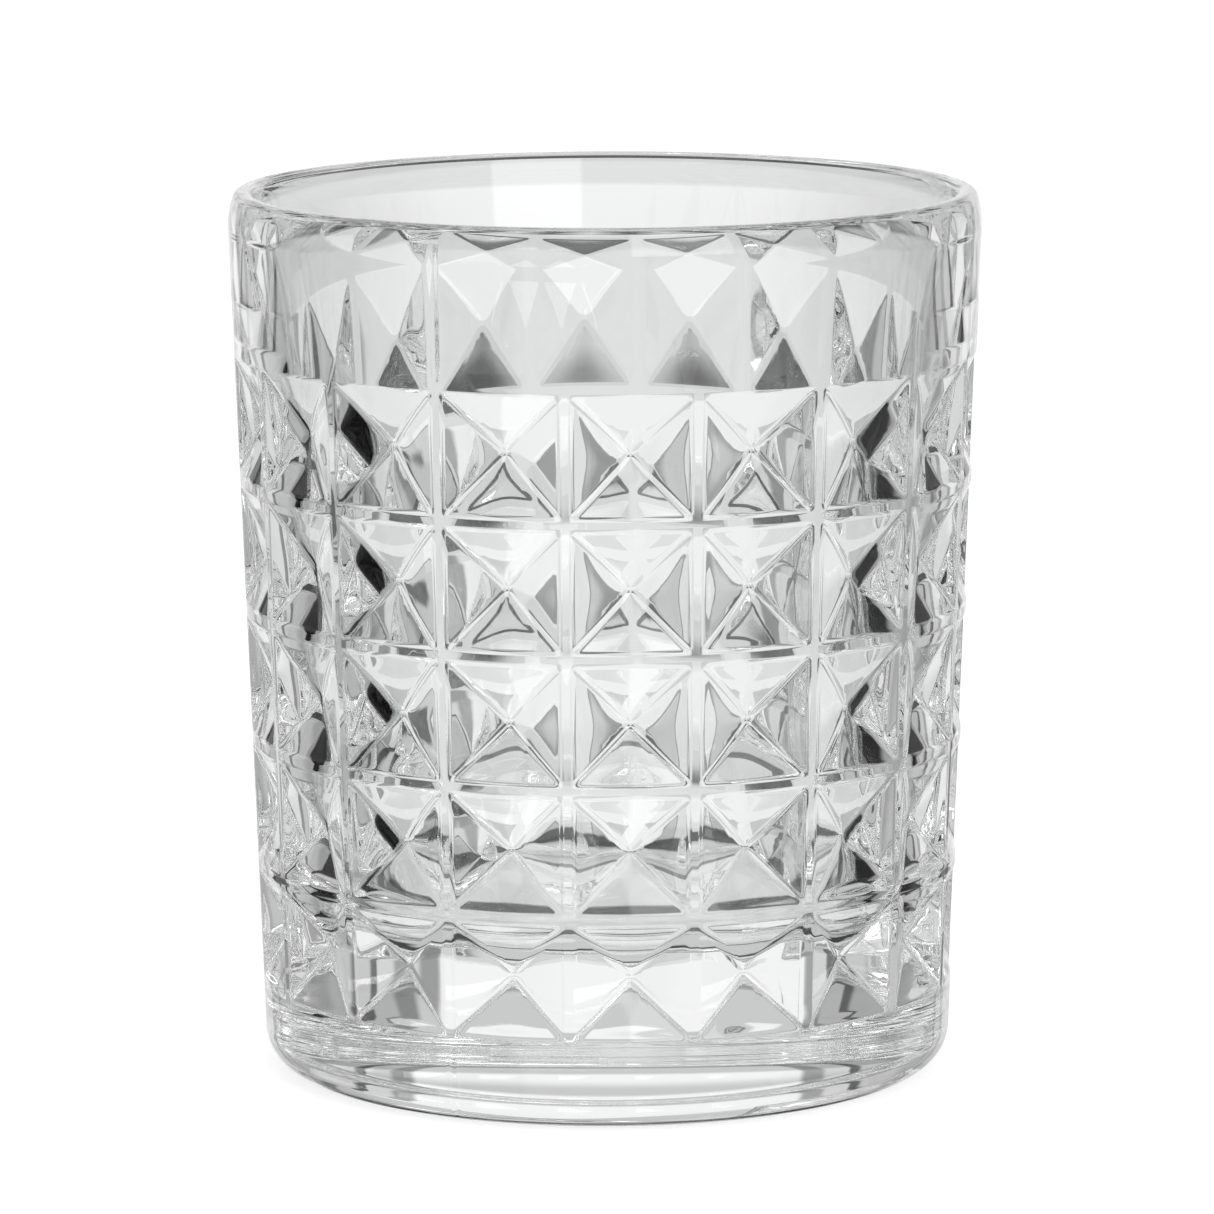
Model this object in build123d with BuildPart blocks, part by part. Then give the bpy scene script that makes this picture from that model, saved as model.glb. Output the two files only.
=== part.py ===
from build123d import *
import os
from math import cos, pi, radians, sin, tan

# A pressed-glass whiskey tumbler, all one piece of clear glass.
# Units are millimetres, +Z is up, and the origin is the centre of the resting plane.
# The outer wall is a plain cone with five rows of square recesses, eighteen to a row, each sunk
# to a point like the inside of a pyramid. The bars left between them are flush with the cone.

# Outer body
total_height = 96.4
rim_radius = 41.0            # of the outer cone, where it would reach the top
taper_angle = 2.166          # of the outer wall from the vertical
foot_corner_radius = 4.6
resting_ring_inner_radius = 28.0
underside_hollow_height = 1.0
shoulder_height = 4.2        # the outer wall leans in towards the lip from here up
shoulder_inset = 0.7
lip_radius = 1.0

# Cavity: its wall thins towards the lip, so it is given as (radius, height) from the lip down
cavity_wall = [
    (38.2, 96.4),
    (37.25, 91.0),
    (36.1, 84.0),
    (35.05, 76.0),
    (34.2, 68.0),
    (33.0, 55.0),
    (32.0, 40.0),
    (30.9, 18.0),
]
cavity_corner_radius = 5.0

# Recesses
columns = 18
row_levels = [79.5, 65.27, 51.03, 36.93, 23.05, 9.4]   # middles of the level bars, top to bottom
bar_width = 1.0
recess_depth = 2.6
flank_overrun = 0.1          # how far a cutter's slanting flanks run on past the outer wall
cutter_overshoot = 2.0       # how far the cutters stand proud of the outer wall


def outer_radius(z):
    """Radius of the outer cone at height z."""
    return rim_radius - (total_height - z) * tan(radians(taper_angle))


# Level V-shaped grooves, one ring for each row of recesses
with BuildPart() as ring_grooves:
    with BuildSketch(Plane.XZ):
        for upper_level, lower_level in zip(row_levels, row_levels[1:]):
            top = upper_level - bar_width / 2
            bottom = lower_level + bar_width / 2
            middle = (top + bottom) / 2
            run_on = flank_overrun * (top - middle) / recess_depth
            with BuildLine():
                Polyline(
                    (outer_radius(middle) - recess_depth, middle),
                    (outer_radius(top) + flank_overrun, top + run_on),
                    (outer_radius(top) + cutter_overshoot, top + run_on),
                    (outer_radius(bottom) + cutter_overshoot, bottom - run_on),
                    (outer_radius(bottom) + flank_overrun, bottom - run_on),
                    close=True,
                )
            make_face()
    revolve(axis=Axis.Z)


def trench_profile(z):
    """Corners of one upright V-shaped trench at height z, half-way between two upright bars."""
    half_step = pi / columns
    radius = outer_radius(z)
    edge_angle = half_step - bar_width / 2 / radius
    apex_y = radius - recess_depth
    rise = radius * cos(edge_angle) - apex_y
    run_on = (rise + flank_overrun) / rise
    edge_x = radius * sin(edge_angle) * run_on
    edge_y = apex_y + rise * run_on
    return [
        (0, -apex_y),
        (edge_x, -edge_y),
        (edge_x, -(radius + cutter_overshoot)),
        (-edge_x, -(radius + cutter_overshoot)),
        (-edge_x, -edge_y),
    ]


# Upright V-shaped trenches, one for each column, following the cone
with BuildPart() as one_trench:
    for level in (row_levels[-1], row_levels[0]):
        with BuildSketch(Plane.XY.offset(level)):
            with BuildLine():
                Polyline(*trench_profile(level), close=True)
            make_face()
    loft(ruled=True)

with BuildPart() as column_grooves:
    with PolarLocations(0, columns, start_angle=180 / columns):
        add(one_trench.part)

# A recess is where a ring groove and an upright trench cross
with BuildPart() as recesses:
    add(ring_grooves.part)
    add(column_grooves.part, mode=Mode.INTERSECT)

# The tumbler: a turned glass body, less its recesses
with BuildPart() as tumbler:
    with BuildSketch(Plane.XZ):
        shoulder_level = total_height - shoulder_height
        lip_outer = outer_radius(shoulder_level) - shoulder_inset
        floor_radius, floor_height = cavity_wall[-1]
        with BuildLine():
            ThreePointArc(
                (0, underside_hollow_height),
                (resting_ring_inner_radius / 2, underside_hollow_height * 3 / 4),
                (resting_ring_inner_radius, 0),
            )
            Line((resting_ring_inner_radius, 0), (outer_radius(0), 0))
            wall = Line((outer_radius(0), 0), (outer_radius(shoulder_level), shoulder_level))
            TangentArc(wall @ 1, (lip_outer, total_height), tangent=wall % 1)
            Line((lip_outer, total_height), cavity_wall[0])
            Spline(*cavity_wall)
            Polyline((floor_radius, floor_height), (0, floor_height), (0, underside_hollow_height))
        make_face()
    revolve(axis=Axis.Z)
    rims = tumbler.edges().filter_by(GeomType.CIRCLE).group_by(Axis.Z)
    fillet(rims[-1], lip_radius)
    fillet(rims[0].sort_by(SortBy.RADIUS)[-1], foot_corner_radius)
    floor_edge = tumbler.edges().filter_by_position(Axis.Z, floor_height, floor_height)
    fillet(floor_edge.filter_by(GeomType.CIRCLE), cavity_corner_radius)
    add(recesses.part, mode=Mode.SUBTRACT)

tumbler.part.label = "tumbler"

os.makedirs("parts", exist_ok=True)
export_step(tumbler.part, "parts/tumbler.step")
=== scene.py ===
import bpy
import numpy as np
from mathutils import Matrix, Vector


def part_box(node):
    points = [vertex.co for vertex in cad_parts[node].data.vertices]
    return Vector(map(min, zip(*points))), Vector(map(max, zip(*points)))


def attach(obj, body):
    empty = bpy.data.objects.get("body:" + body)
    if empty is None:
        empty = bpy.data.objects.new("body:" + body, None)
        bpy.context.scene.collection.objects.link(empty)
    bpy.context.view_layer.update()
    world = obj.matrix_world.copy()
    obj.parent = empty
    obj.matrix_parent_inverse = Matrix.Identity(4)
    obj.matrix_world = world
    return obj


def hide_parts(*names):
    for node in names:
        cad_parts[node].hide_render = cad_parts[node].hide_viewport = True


# A whiskey tumbler of clear pressed glass. The CAD solid is replaced by one mesh with the same
# sizes, whose bars, valleys, lip and corners are rounded as fire-polished glass is.

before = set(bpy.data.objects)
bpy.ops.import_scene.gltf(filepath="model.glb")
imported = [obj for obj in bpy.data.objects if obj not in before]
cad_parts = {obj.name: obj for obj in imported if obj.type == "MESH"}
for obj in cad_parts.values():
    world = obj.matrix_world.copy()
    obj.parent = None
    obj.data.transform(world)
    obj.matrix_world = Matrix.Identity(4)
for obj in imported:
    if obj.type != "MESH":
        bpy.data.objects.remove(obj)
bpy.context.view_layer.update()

MM = 0.001
low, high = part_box("tumbler")
BASE, TOP = low[2], high[2]

# The outer wall
TAPER = np.tan(np.radians(2.166))
RIM_RADIUS = 41.0 * MM             # of the wall's cone where it would reach the top
FOOT_CORNER = 4.6 * MM
HOLLOW_RADIUS = 28.0 * MM
HOLLOW_HEIGHT = 1.0 * MM
SHOULDER_HEIGHT = 4.2 * MM         # the wall leans in towards the lip from here up
SHOULDER_INSET = 0.7 * MM
LIP_RADIUS = 1.0 * MM

# The cavity's wall, from the floor's corner up to just below the lip: (height, radius)
CAVITY_WALL = [(z * MM, r * MM) for z, r in (
    (23.0, 31.1), (40.0, 32.0), (55.0, 33.0), (68.0, 34.2), (76.0, 35.05), (84.0, 36.1),
    (91.0, 37.25), (95.4, 38.0))]
CAVITY_FLOOR_LEVEL = 18.0 * MM

# The recesses
COLUMNS = 18
HALF_STEP = np.pi / COLUMNS
LEVELS = [z * MM for z in (79.5, 65.27, 51.03, 36.93, 23.05, 9.4)]       # of the level bars
POINT_LEVELS = [z * MM for z in (72.59, 58.17, 43.91, 30.02, 16.6)]      # of the deepest points
DEPTH = 2.6 * MM
HOLLOWNESS = 0.05 * MM             # each face of a recess sinks this much in its middle
BAR_FLAT = 0.33 * MM               # half the flat top of a bar
BAR_ROUND = 0.68 * MM              # width of the rounding beside it
VALLEY = 0.11                      # half-width of the rounded valleys, as a share of half a cell

# The mould's seams: two faint ridges on the plain glass above and below the recesses
SEAM_TURNS = (-20.0, 160.0)
SEAM_HEIGHT = 0.03 * MM
SEAM_FADE = 1.5 * MM               # it dies out over this height at the bars and at the lip

WELD = 0.001 * MM                  # points nearer than this are one


def wall_radius(z):
    """Radius of the outer wall's cone at height z."""
    return RIM_RADIUS - (TOP - z) * TAPER


def on_circle(r, angle, z):
    """Points at radius r and height z, turned by angle from -Y towards +X."""
    return np.stack(np.broadcast_arrays(r * np.sin(angle), -r * np.cos(angle), z), -1)


def unit(v):
    return v / np.linalg.norm(v, axis=-1, keepdims=True)


# ---- one recess

def soft_distance(x, width):
    """|x| with its kink at zero rounded off over +-width."""
    a = np.abs(x)
    return np.where(a < width, (a * a + width * width) / (2 * width), a)


def soft_larger(a, b, width):
    """The larger of a and b, with the crease between them rounded off."""
    h = np.maximum(width - np.abs(a - b), 0) / width
    return np.maximum(a, b) + h * h * width / 4


def recess_depth(across, up, half_width):
    """Depth below the wall's cone, for a place in a cell given from -1 to 1 each way."""
    m = soft_larger(soft_distance(across, VALLEY / 2), soft_distance(up, VALLEY / 2), VALLEY)
    e = np.maximum((1 - m) * half_width - BAR_FLAT, 0)
    slope = DEPTH / (half_width - BAR_FLAT - BAR_ROUND / 2)
    depth = slope * np.where(e < BAR_ROUND, e * e / (2 * BAR_ROUND), e - BAR_ROUND / 2)
    out = np.maximum(np.abs(across), np.abs(up))
    beside = np.minimum(np.abs(across), np.abs(up)) / np.maximum(out, 1e-9)
    return depth + HOLLOWNESS * 16 * (out * (1 - out))**2 * (1 - beside**2)**2


def cell_point(row, across, up, turn):
    """A place on the wall, for across and up from -1 to 1 in a cell of this row."""
    middle = POINT_LEVELS[row]
    z = middle + np.where(up > 0, up * (LEVELS[row] - middle), up * (middle - LEVELS[row + 1]))
    depth = recess_depth(across, up, wall_radius(middle) * HALF_STEP)
    return on_circle(wall_radius(z) - depth, turn + across * HALF_STEP, z)


def cell_normal(row, across, up, turn):
    d = 1e-4
    along = cell_point(row, across + d, up, turn) - cell_point(row, across - d, up, turn)
    upward = cell_point(row, across, up + d, turn) - cell_point(row, across, up - d, turn)
    return unit(np.cross(along, upward))


def cell_side(size):
    """Stations along one side of a square ring in a cell, close together at the valleys."""
    k = VALLEY * min(1.0, size / (4 * VALLEY))
    inner = np.linspace(-1, 1, 7) * (size - 2 * k)
    return np.concatenate([[-size, -size + k / 2, -size + k], inner, [size - k, size - k / 2]])


def cell_ring(size):
    """One square ring of places in a cell, anticlockwise from its lower left corner."""
    side = cell_side(size)
    edge = np.full(len(side), size)
    return np.concatenate([side, edge, -side, -edge]), np.concatenate([-edge, side, edge, -side])


# Distances of the rings from the cell's border towards its deepest point, in a cell 14 across
HALF_CELL = 7.0
RING_STEPS = [0, 0.33, 0.46, 0.63, 0.8, 1.01, 1.4, 2.2, 3.3, 4.5, 5.4, 6.0, 6.35, 6.6, 6.82]
RING_SIZES = [1 - step / HALF_CELL for step in RING_STEPS]


# ---- the mesh

class Sheet:
    """Collects points with their normals, and faces."""

    def __init__(self):
        self.points, self.normals, self.faces = [], [], []
        self.count = 0

    def add(self, points, normals):
        """Adds points and returns their numbers."""
        self.points.append(points)
        self.normals.append(normals)
        self.count += len(points)
        return list(range(self.count - len(points), self.count))

    def bridge(self, first, second, downward=False):
        """Joins a closed ring to the next one, or to one point. Seen from outside, the rings run
        to the right and the second one is above or within the first, unless it is downward."""
        for i, a in enumerate(first):
            j = (i + 1) % len(first)
            face = (a, first[j], second[0]) if len(second) == 1 else (a, first[j], second[j], second[i])
            self.faces.append(face[::-1] if downward else face)

    def mesh(self, name):
        """The mesh of all points, with those that share a place made one."""
        points, normals = np.concatenate(self.points), np.concatenate(self.normals)
        places = np.round(points / WELD + 0.3).astype(np.int64)
        _, first, index = np.unique(places, axis=0, return_index=True, return_inverse=True)
        index = index.reshape(-1)
        faces = []
        for face in self.faces:
            corners = [int(index[i]) for i in face]
            corners = [c for k, c in enumerate(corners) if c != corners[k - 1]]
            if len(corners) > 2:
                faces.append(corners)
        mesh = bpy.data.meshes.new(name)
        mesh.from_pydata(points[first].tolist(), [], faces)
        mesh.update()
        mesh.shade_smooth()
        mesh.normals_split_custom_set_from_vertices(normals[first].tolist())
        return mesh


def add_cells(sheet):
    """The patterned zone: five rows of square recesses with the bars between them."""
    for row in range(len(POINT_LEVELS)):
        for column in range(COLUMNS):
            turn = (2 * column + 1) * HALF_STEP
            rings = []
            for size in RING_SIZES:
                place = cell_ring(size)
                rings.append(sheet.add(cell_point(row, *place, turn), cell_normal(row, *place, turn)))
            middle = np.zeros(1), np.zeros(1)
            rings.append(sheet.add(cell_point(row, *middle, turn), cell_normal(row, *middle, turn)))
            for outer, inner in zip(rings, rings[1:]):
                sheet.bridge(outer, inner)


# ---- the outlines above and below the recesses, as (r, z, normal's r, normal's z)

def arc(centre, radius, start, end, count, inward=False):
    """Points of an arc from angle start to end; its normals point at the centre if inward."""
    side = -1 if inward else 1
    return [(centre[0] + radius * np.cos(t), centre[1] + radius * np.sin(t),
             side * np.cos(t), side * np.sin(t)) for t in np.linspace(start, end, count)]


def spline_slopes(knots):
    """Slopes at the knots of the natural cubic spline through (x, y) knots."""
    x, y = np.array(knots).T
    h = np.diff(x)
    s = np.diff(y) / h
    n = len(x)
    a = np.zeros((n, n))
    b = np.zeros(n)
    a[0, :2], b[0] = (2, 1), 3 * s[0]
    a[-1, -2:], b[-1] = (1, 2), 3 * s[-1]
    for i in range(1, n - 1):
        a[i, i - 1:i + 2] = h[i], 2 * (h[i - 1] + h[i]), h[i - 1]
        b[i] = 3 * (h[i] * s[i - 1] + h[i - 1] * s[i])
    return np.linalg.solve(a, b)


def spline_at(knots, slopes, x):
    """Value and slope of the spline at x, which runs on straight past its last knot."""
    kx, ky = np.array(knots).T
    if x > kx[-1]:
        return ky[-1] + slopes[-1] * (x - kx[-1]), slopes[-1]
    i = int(np.clip(np.searchsorted(kx, x) - 1, 0, len(kx) - 2))
    h = kx[i + 1] - kx[i]
    t = (x - kx[i]) / h
    rise, start, end = ky[i + 1] - ky[i], slopes[i] * h, slopes[i + 1] * h
    value = ky[i] + start * t + (3 * rise - 2 * start - end) * t**2 + (start + end - 2 * rise) * t**3
    slope = start + 2 * (3 * rise - 2 * start - end) * t + 3 * (start + end - 2 * rise) * t**2
    return value, slope / h


def foot_outline():
    """From the lowest bar round the foot and the underside to its middle."""
    tilt = np.arctan(TAPER)
    centre_z = BASE + FOOT_CORNER
    centre = (wall_radius(centre_z) - FOOT_CORNER / np.cos(tilt), centre_z)
    corner_top = centre_z - FOOT_CORNER * np.sin(tilt)
    line = [(wall_radius(z), z, np.cos(tilt), -np.sin(tilt))
            for z in np.linspace(LEVELS[-1], corner_top, 8)[:-1]]
    line += arc(centre, FOOT_CORNER, -tilt, -np.pi / 2, 17)
    line += [(r, BASE, 0, -1) for r in np.linspace(centre[0], HOLLOW_RADIUS, 4)[1:]]
    bowl = (HOLLOW_RADIUS**2 + HOLLOW_HEIGHT**2) / (2 * HOLLOW_HEIGHT)
    for a in np.linspace(np.arcsin(HOLLOW_RADIUS / bowl), 0, 15):
        line.append((bowl * np.sin(a), BASE + HOLLOW_HEIGHT - bowl * (1 - np.cos(a)),
                     -np.sin(a), -np.cos(a)))
    return line


def rim_outline():
    """From the highest bar over the lip and down the cavity to the middle of its floor."""
    tilt = np.arctan(TAPER)
    out, down = np.cos(tilt), np.sin(tilt)
    shoulder = TOP - SHOULDER_HEIGHT
    line = [(wall_radius(z), z, out, -down) for z in np.linspace(LEVELS[0], shoulder, 12)[:-1]]
    # the shoulder's arc leaves the cone at a tangent
    drop = SHOULDER_INSET * out + SHOULDER_HEIGHT * down
    bend = (SHOULDER_INSET**2 + SHOULDER_HEIGHT**2) / (2 * drop)
    centre = (wall_radius(shoulder) - bend * out, shoulder + bend * down)
    lip_level = TOP - LIP_RADIUS
    end = np.arcsin((lip_level - centre[1]) / (bend - LIP_RADIUS))
    lip_outer = centre[0] + (bend - LIP_RADIUS) * np.cos(end)
    line += arc(centre, bend, -tilt, end, 12)
    line += arc((lip_outer, lip_level), LIP_RADIUS, end, np.pi / 2, 11)[1:]
    # the inner half of the lip runs into the cavity's wall
    slopes = spline_slopes(CAVITY_WALL)
    lean = np.arctan(slopes[-1])
    touch = lip_level + LIP_RADIUS * np.sin(lean)
    lip_inner = spline_at(CAVITY_WALL, slopes, touch)[0] + LIP_RADIUS * np.cos(lean)
    line += arc((lip_inner, lip_level), LIP_RADIUS, np.pi / 2, np.pi - lean, 11)
    for z in np.linspace(touch, CAVITY_WALL[0][0], 42)[1:]:
        r, slope = spline_at(CAVITY_WALL, slopes, z)
        a = np.arctan(slope)
        line.append((r, z, -np.cos(a), np.sin(a)))
    # the floor's corner
    lean = np.arctan(slopes[0])
    corner = (CAVITY_WALL[0][0] - CAVITY_FLOOR_LEVEL) / (1 - np.sin(lean))
    centre = (CAVITY_WALL[0][1] - corner * np.cos(lean), CAVITY_FLOOR_LEVEL + corner)
    line += arc(centre, corner, -lean, -np.pi / 2, 13, inward=True)[1:]
    line += [(r, CAVITY_FLOOR_LEVEL, 0, 1) for r in np.linspace(centre[0], 0, 12)[1:]]
    return line


def ring_angles():
    """Angles of a turned ring's points, which match the cells' borders."""
    side = cell_side(1.0)
    return np.concatenate([(2 * c + 1 + side) * HALF_STEP for c in range(COLUMNS)])


def seam(z, angles):
    """Height of the seam's ridge and its slope along the ring, at the plain parts of the wall."""
    above = (z - LEVELS[0]) / SEAM_FADE
    under_lip = (TOP - SEAM_FADE - z) / SEAM_FADE
    below = (LEVELS[-1] - z) / SEAM_FADE
    strength = max(np.clip(above, 0, 1) * np.clip(under_lip, 0, 1), np.clip(below, 0, 1))
    step = VALLEY / 2 * HALF_STEP
    height, slope = np.zeros(len(angles)), np.zeros(len(angles))
    for turn in SEAM_TURNS:
        away = (angles - np.radians(turn) + np.pi) % (2 * np.pi) - np.pi
        height += strength * SEAM_HEIGHT * np.clip(1 - np.abs(away) / (2 * step), 0, 1)
        beside = (np.abs(away) > 0.5 * step) & (np.abs(away) < 1.5 * step)
        slope -= strength * np.where(beside, np.sign(away), 0) * SEAM_HEIGHT / (step * RIM_RADIUS)
    return height, slope


def add_turned(sheet, outline, downward):
    """Turns an outline round the axis."""
    angles = ring_angles()
    sideways = np.stack([np.cos(angles), np.sin(angles), 0 * angles], -1)
    rings = []
    for r, z, nr, nz in outline:
        if r < WELD:
            rings.append(sheet.add(np.array([[0, 0, z]]), np.array([[0, 0, np.sign(nz)]])))
            continue
        height, slope = seam(z, angles) if nr > 0.5 else (0 * angles, 0 * angles)
        normals = unit(on_circle(nr, angles, nz) - slope[:, None] * sideways)
        rings.append(sheet.add(on_circle(r + height, angles, z), normals))
    for first, second in zip(rings, rings[1:]):
        sheet.bridge(first, second, downward)


# ---- materials

def new_node(tree, kind, **settings):
    node = tree.nodes.new(kind)
    for name, value in settings.items():
        setattr(node, name, value)
    return node


def feed(tree, value, socket):
    """Sets a socket from a number or from another node's output."""
    if isinstance(value, (int, float)):
        socket.default_value = value
    else:
        tree.links.new(value, socket)


def maths(tree, operation, first, second=0.0, third=0.0):
    node = new_node(tree, "ShaderNodeMath", operation=operation)
    for value, socket in zip((first, second, third), node.inputs):
        feed(tree, value, socket)
    return node.outputs[0]


def ramp(tree, x, start, end, low=0.0, high=1.0):
    """Goes smoothly from low to high as x goes from start to end."""
    node = new_node(tree, "ShaderNodeMapRange", interpolation_type="SMOOTHSTEP")
    for value, socket in zip((x, start, end, low, high), node.inputs):
        feed(tree, value, socket)
    return node.outputs[0]


def blend(tree, amount, first, second):
    """first where amount is 0, second where it is 1."""
    node = new_node(tree, "ShaderNodeMix", data_type="FLOAT")
    for value, socket in zip((amount, first, second), (node.inputs[0], node.inputs[2], node.inputs[3])):
        feed(tree, value, socket)
    return node.outputs[0]


def noise(tree, place, scale, stretch=(1, 1, 1), detail=2.0):
    """Noise over the object, with places multiplied by stretch first."""
    move = new_node(tree, "ShaderNodeMapping")
    move.inputs["Scale"].default_value = stretch
    tree.links.new(place, move.inputs["Vector"])
    node = new_node(tree, "ShaderNodeTexNoise")
    node.inputs["Scale"].default_value = scale
    node.inputs["Detail"].default_value = detail
    tree.links.new(move.outputs[0], node.inputs["Vector"])
    return node.outputs["Fac"]


GLASS_TINT = (0.985, 0.995, 0.99, 1)
GLASS_INDEX = 1.55
WAVE_HEIGHT = 0.008 * MM           # of the faint waves in the surface


def clear_glass():
    """Pressed glass: clear, hardly tinted, with the faint waves and drawn streaks of pressing."""
    material = bpy.data.materials.new("clear_glass")
    material.use_nodes = True
    tree = material.node_tree
    shader = tree.nodes["Principled BSDF"]
    shader.inputs["Base Color"].default_value = GLASS_TINT
    shader.inputs["Transmission Weight"].default_value = 1.0
    shader.inputs["IOR"].default_value = GLASS_INDEX
    shader.inputs["Roughness"].default_value = 0.0
    place = new_node(tree, "ShaderNodeTexCoord").outputs["Object"]
    waves = noise(tree, place, 90.0, detail=1.0)
    streaks = noise(tree, place, 700.0, stretch=(1, 1, 0.06), detail=2.0)
    height = maths(tree, "MULTIPLY_ADD", streaks, 0.12, waves)
    bump = new_node(tree, "ShaderNodeBump")
    bump.inputs["Strength"].default_value = 1.0
    bump.inputs["Distance"].default_value = WAVE_HEIGHT
    tree.links.new(height, bump.inputs["Height"])
    tree.links.new(bump.outputs[0], shader.inputs["Normal"])
    return material


def make_glass():
    sheet = Sheet()
    add_cells(sheet)
    add_turned(sheet, foot_outline(), downward=True)
    add_turned(sheet, rim_outline(), downward=False)
    mesh = sheet.mesh("glass_body")
    mesh.materials.append(clear_glass())
    glass = bpy.data.objects.new("glass_body", mesh)
    bpy.context.collection.objects.link(glass)
    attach(glass, "root")
    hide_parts("tumbler")


# ---- the camera

CAMERA_TURN = np.radians(6.09)     # to the right of the bar at the front
CAMERA_RISE = np.radians(9.115)
CAMERA_ROLL = np.radians(-0.174)
CAMERA_DISTANCE = 0.85742
CAMERA_LENS = 232.73               # millimetres, as is the sensor
SENSOR_WIDTH = 36
VIEW_END = 100                     # metres
AIM_ABOVE_MIDDLE = 2.216 * MM
AIM_TO_RIGHT = 0.085 * MM


def make_camera():
    turn = Matrix.Rotation(CAMERA_TURN, 4, "Z")
    forward = Vector((0, np.cos(CAMERA_RISE), -np.sin(CAMERA_RISE)))
    right = Vector((1, 0, 0))
    facing = Matrix((right, right.cross(forward), -forward)).transposed()
    aim = Vector((AIM_TO_RIGHT, 0, (BASE + TOP) / 2 + AIM_ABOVE_MIDDLE))
    stand = Matrix.Translation(aim - forward * CAMERA_DISTANCE)
    data = bpy.data.cameras.new("camera")
    data.sensor_width = SENSOR_WIDTH
    data.lens = CAMERA_LENS
    data.clip_end = VIEW_END
    camera = bpy.data.objects.new("camera", data)
    camera.matrix_world = turn @ stand @ (facing @ Matrix.Rotation(CAMERA_ROLL, 3, "Z")).to_4x4()
    bpy.context.collection.objects.link(camera)
    bpy.context.scene.camera = camera


# ---- floor and studio

FLOOR_SIZE = 6                     # metres
FLOOR_GAP = 0.2 * MM               # keeps it clear of the glass's underside


def make_floor():
    """A plain pale floor. It is hidden from rays through the glass, which see the studio's table."""
    bpy.ops.mesh.primitive_plane_add(size=FLOOR_SIZE, location=(0, 0, BASE - FLOOR_GAP))
    floor = bpy.context.object
    floor.name = "floor"
    material = bpy.data.materials.new("pale_floor")
    material.use_nodes = True
    shader = material.node_tree.nodes["Principled BSDF"]
    shader.inputs["Base Color"].default_value = (0.8, 0.8, 0.8, 1)
    shader.inputs["Roughness"].default_value = 0.9
    shader.inputs["Specular IOR Level"].default_value = 0.0
    shader.inputs["Emission Color"].default_value = (1, 1, 1, 1)
    shader.inputs["Emission Strength"].default_value = 0.7
    floor.data.materials.append(material)
    floor.visible_transmission = False
    floor.visible_glossy = False


# The studio's light by height above the floor's horizon, from below upwards: past each place the
# light goes over to the next strength. All places are in degrees and all strengths are radiances.
UNDER_FOOT = 0.58
BY_HEIGHT = [
    (-47, -42, 0.05),      # painted shadow: the glass's own shadow on the floor near it
    (-30, -27, 0.66),      # the table
    (-21, -19, 0.77),
    (-12, -10, 0.93),      # the lit backdrop
    (12, 16, 0.58),
    (26, 34, 0.3),
    (50, 60, 0.85),        # the lamp overhead
]

# Shares of that light by distance to either side of the backdrop's middle
BY_SIDE = [
    (24.5, 26, 0.38),      # the backdrop's edge
    (28.5, 30, 0.74),
    (34.2, 35, 0.12),      # a gap between two screens
    (36.4, 38, 0.62),
    (46, 52, 0.42),
]
BY_SIDE_FROM = (-52, -44)  # the shares hold from this height up
BEHIND = 0.75              # the white walls behind the camera
BEHIND_FROM = (100, 125)   # where they begin, to either side

# Windows in the studio: from and to sideways, from and to upwards, softness, radiance
BLACK_SCREEN_LEFT = (-101, -62, -34, -2, 6, 0.003)
BLACK_SCREEN_RIGHT = (60, 80, -42, -7, 6, 0.003)
GREY_SCREEN_RIGHT = (80, 94, -34, -6, 6, 0.12)
DARK_CORNER = (-152, -129, -27, -4, 5, 0.06)
SOFT_BOX = (141, 172, 4, 38, 2, 3.0)


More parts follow.
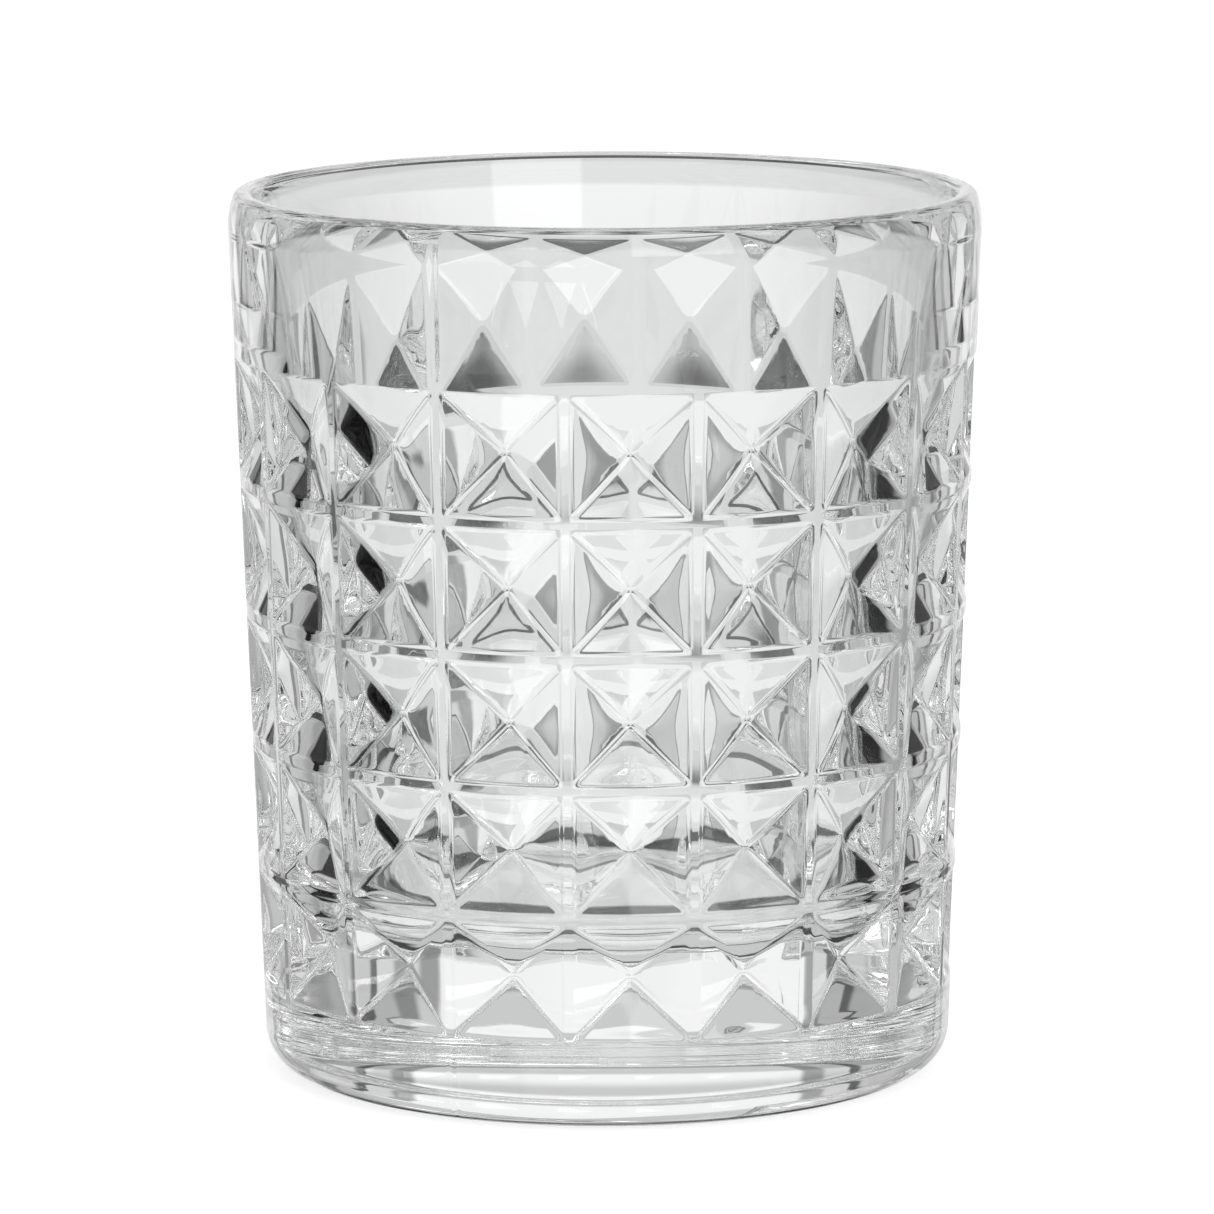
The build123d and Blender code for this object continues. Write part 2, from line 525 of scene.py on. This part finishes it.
def window(tree, x, start, end, softness):
    """1 where x is between start and end, with soft edges."""
    rise = ramp(tree, x, start - softness / 2, start + softness / 2)
    fall = ramp(tree, x, end - softness / 2, end + softness / 2)
    return maths(tree, "SUBTRACT", rise, fall)


def make_studio():
    """Soft light from all round, white where the camera sees it directly."""
    world = bpy.data.worlds.new("studio")
    bpy.context.scene.world = world
    world.use_nodes = True
    tree = world.node_tree
    turn = new_node(tree, "ShaderNodeVectorRotate", rotation_type="Z_AXIS")
    turn.inputs["Angle"].default_value = -CAMERA_TURN
    tree.links.new(new_node(tree, "ShaderNodeTexCoord").outputs["Generated"], turn.inputs["Vector"])
    parts = new_node(tree, "ShaderNodeSeparateXYZ")
    tree.links.new(turn.outputs[0], parts.inputs[0])
    x, y, z = parts.outputs
    sideways = maths(tree, "DEGREES", maths(tree, "ARCTAN2", x, y))
    upwards = maths(tree, "DEGREES", maths(tree, "ARCSINE", z))
    aside = maths(tree, "ABSOLUTE", sideways)

    light = UNDER_FOOT
    for start, end, strength in BY_HEIGHT:
        light = blend(tree, ramp(tree, upwards, start, end), light, strength)
    share = 1.0
    for start, end, strength in BY_SIDE:
        share = blend(tree, ramp(tree, aside, start, end), share, strength)
    share = blend(tree, ramp(tree, upwards, *BY_SIDE_FROM), 1.0, share)
    light = maths(tree, "MULTIPLY", light, share)
    light = blend(tree, ramp(tree, aside, *BEHIND_FROM), light, BEHIND)
    for left, right, bottom, top, softness, strength in (
            BLACK_SCREEN_LEFT, BLACK_SCREEN_RIGHT, GREY_SCREEN_RIGHT, DARK_CORNER, SOFT_BOX):
        area = maths(tree, "MULTIPLY", window(tree, sideways, left, right, softness),
                     window(tree, upwards, bottom, top, softness))
        light = blend(tree, area, light, strength)

    path = new_node(tree, "ShaderNodeLightPath")
    light = blend(tree, path.outputs["Is Camera Ray"], light, 1.0)
    tree.links.new(light, tree.nodes["Background"].inputs["Color"])


make_glass()
make_camera()
make_floor()
make_studio()

BOUNCES = 64                       # light crosses many facets before it leaves the glass
scene = bpy.context.scene
scene.view_settings.view_transform = "Standard"
scene.cycles.max_bounces = BOUNCES
scene.cycles.transmission_bounces = BOUNCES
scene.cycles.glossy_bounces = BOUNCES
